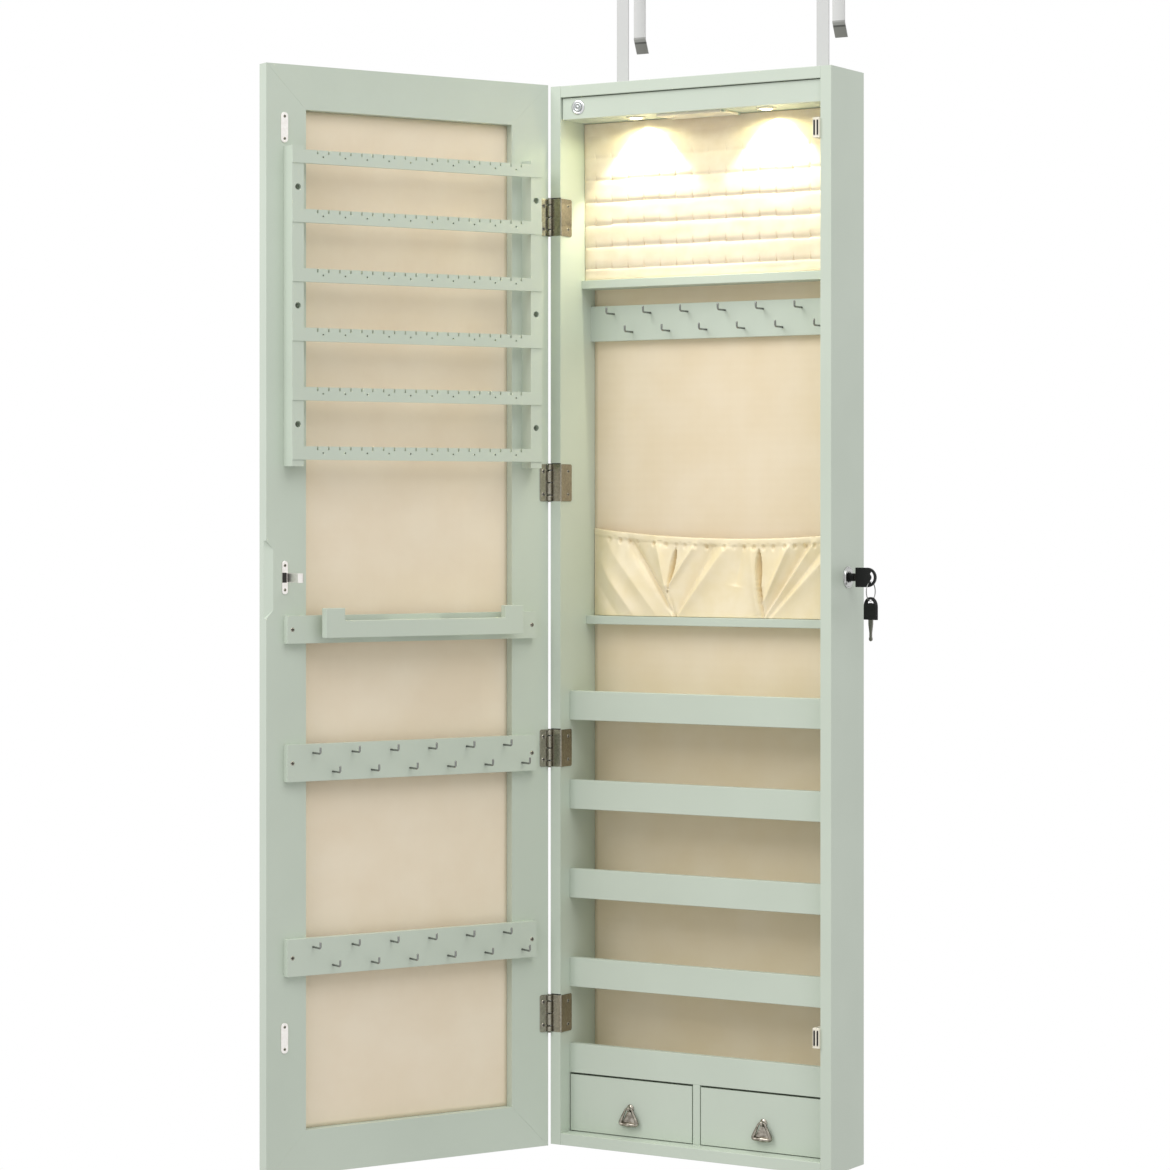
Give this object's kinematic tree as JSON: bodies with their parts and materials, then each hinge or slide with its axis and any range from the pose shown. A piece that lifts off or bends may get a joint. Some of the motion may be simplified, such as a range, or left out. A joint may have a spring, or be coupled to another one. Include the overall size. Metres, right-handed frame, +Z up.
{
  "type": "jewelry mirror cabinet",
  "caption": "Slim over-the-door jewelry cabinet with a hinged full-length mirror door, lit ring cushion, hooks, racks, pocket, drawers and a key lock.",
  "frame": {"origin": "centre of the case's back face", "axes": "+X to the right seen from the front, +Y backwards out of the case's back, +Z up"},
  "size_m": [0.5683, 0.4434, 1.338],
  "materials": {
    "painted_wood": "satin paint",
    "back_board": "raw fibreboard",
    "lining_fabric": "short pile",
    "ring_velvet": "velvet",
    "pocket_satin": "satin",
    "mirror_glass": "silvered float glass",
    "chrome_wire": "bright",
    "nickel_hinge": "nickel plated",
    "dark_lock": "black",
    "lock_steel": "zinc plated",
    "key_plastic": "moulded",
    "hanger_paint": "light grey paint",
    "white_plastic": "moulded",
    "battery_metal": "sleeved",
    "wire_sheath": "flexible"
  },
  "bodies": {
    "case": {"side_panel_left": "painted_wood", "side_panel_right": "painted_wood", "top_panel": "painted_wood", "bottom_panel": "painted_wood", "back_panel": "back_board", "back_lining": "lining_fabric", "hanging_batten": "painted_wood", "light_fascia": "painted_wood", "light_ceiling": "painted_wood", "led_lamps": "white_plastic", "battery_box": "white_plastic", "battery_cells": "battery_metal", "led_wiring": "wire_sheath", "switch_bezel": "chrome_wire", "ring_cushion": "ring_velvet", "pocket": "pocket_satin", "shelf_upper": "painted_wood", "shelf_middle": "painted_wood", "guard_rails": "painted_wood", "bay_shelves": "painted_wood", "necklace_rail": "painted_wood", "necklace_hooks": "chrome_wire", "drawer_divider": "painted_wood", "hinge_case_leaves": "nickel_hinge", "hinge_pins": "nickel_hinge", "magnetic_catches": "white_plastic", "lock_barrel": "chrome_wire", "hanger_left": "hanger_paint", "hanger_right": "hanger_paint", "case_fasteners": "nickel_hinge"},
    "door": {"door_stile_hinge": "painted_wood", "door_stile_free": "painted_wood", "door_rail_top": "painted_wood", "door_rail_bottom": "painted_wood", "door_mirror": "mirror_glass", "door_lined_board": "lining_fabric", "earring_stiles": "painted_wood", "earring_rails": "painted_wood", "bracelet_board": "painted_wood", "bracelet_bar": "painted_wood", "hook_strips": "painted_wood", "strip_hooks": "chrome_wire", "door_strikes": "nickel_hinge", "door_screws": "nickel_hinge", "hinge_door_leaves": "nickel_hinge"},
    "drawer_left": {"drawer_left_front": "painted_wood", "drawer_left_tray": "lining_fabric", "drawer_left_post": "chrome_wire"},
    "bail_left": {"drawer_left_bail": "chrome_wire"},
    "drawer_right": {"drawer_right_front": "painted_wood", "drawer_right_tray": "lining_fabric", "drawer_right_post": "chrome_wire"},
    "bail_right": {"drawer_right_bail": "chrome_wire"},
    "lock_core": {"lock_plug": "dark_lock", "lock_cam": "lock_steel", "main_key": "key_plastic"},
    "key_ring": {"split_ring": "chrome_wire"},
    "spare_key": {"spare_key": "key_plastic"},
    "switch_button": {"switch_button": "white_plastic"},
    "battery_lid": {"battery_lid": "white_plastic"}
  },
  "joints": [
    {"name": "door_hinge", "type": "hinge", "parent": "case", "child": "door", "pos_m": [-0.178, -0.0807, 0], "axis": [0, 0, -1], "range_deg": [-116.2, 53.8]},
    {"name": "drawer_left_slide", "type": "slide", "parent": "case", "child": "drawer_left", "axis": [0, -1, 0], "range_m": [0, 0.045]},
    {"name": "bail_left_swing", "type": "hinge", "parent": "drawer_left", "child": "bail_left", "pos_m": [-0.08475, -0.0625, -0.5525], "axis": [-1, 0, 0], "range_deg": [0, 80]},
    {"name": "drawer_right_slide", "type": "slide", "parent": "case", "child": "drawer_right", "axis": [0, -1, 0], "range_m": [0, 0.045]},
    {"name": "bail_right_swing", "type": "hinge", "parent": "drawer_right", "child": "bail_right", "pos_m": [0.08475, -0.0625, -0.5525], "axis": [-1, 0, 0], "range_deg": [0, 80]},
    {"name": "lock_turn", "type": "hinge", "parent": "case", "child": "lock_core", "pos_m": [0.172, -0.0385, 0.046], "axis": [-1, 0, 0], "range_deg": [0, 90]},
    {"name": "key_ring_swing", "type": "hinge", "parent": "lock_core", "child": "key_ring", "pos_m": [0.20572, -0.0385, 0.04133], "axis": [0, -1, 0], "range_deg": [-10, 20]},
    {"name": "spare_key_swing", "type": "hinge", "parent": "key_ring", "child": "spare_key", "pos_m": [0.20572, -0.0385, 0.02033], "axis": [0, -1, 0], "range_deg": [-10, 20]},
    {"name": "switch_press", "type": "slide", "parent": "case", "child": "switch_button", "axis": [0, 1, 0], "range_m": [0, 0.002], "stiffness_N_per_m": 300},
    {"name": "battery_lid_hinge", "type": "hinge", "parent": "case", "child": "battery_lid", "pos_m": [0.0395, -0.05, 0.55865], "axis": [0, -1, 0], "range_deg": [0, 75]}
  ]
}
